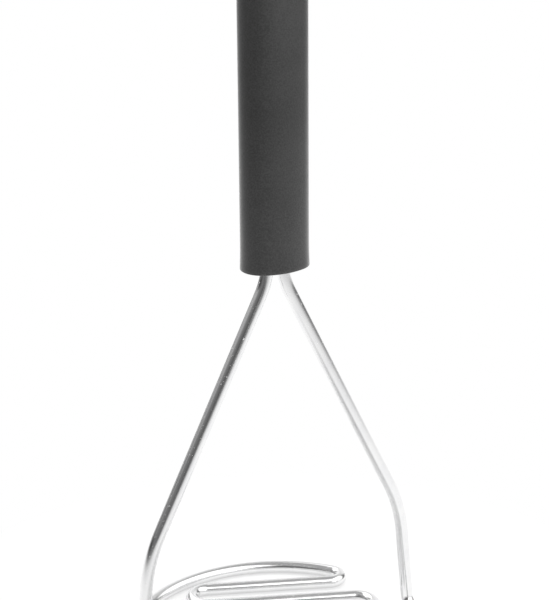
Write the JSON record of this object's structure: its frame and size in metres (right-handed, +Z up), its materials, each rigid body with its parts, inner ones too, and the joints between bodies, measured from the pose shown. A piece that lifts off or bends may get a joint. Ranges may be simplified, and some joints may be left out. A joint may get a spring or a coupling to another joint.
{
  "type": "potato masher",
  "caption": "Wire potato masher: a round winding grid of plated wire on two splayed legs that run up into a long straight oval grip, closed by a cap with a hang hole.",
  "frame": {"origin": "centre of the mashing face's underside, which is the underside of the wire's grid", "axes": "+Z up the grip, +X along the grid's straight runs, +Y to the rear where the first run is; the legs and the grip's broad side lie in a plane turned 19.3 degrees from +X to +Y"},
  "size_m": [0.1334, 0.1334, 0.457],
  "materials": {
    "wire": "bright chrome plating on round steel wire",
    "grip": "black moulded polypropylene with a fine matt grain",
    "plug": "plain black moulded polypropylene"
  },
  "bodies": {
    "root": {"grip_sleeve": "grip", "end_cap": "grip", "shank_plug": "plug", "left_leg": "wire", "right_leg": "wire", "rear_rim": "wire", "front_rim": "wire", "rear_hook": "wire", "front_hook": "wire", "grid_run_1": "wire", "grid_run_2": "wire", "grid_run_3": "wire", "grid_run_4": "wire", "grid_run_5": "wire", "grid_run_6": "wire", "grid_run_7": "wire", "grid_bend_1": "wire", "grid_bend_2": "wire", "grid_bend_3": "wire", "grid_bend_4": "wire", "grid_bend_5": "wire", "grid_bend_6": "wire"}
  },
  "joints": []
}
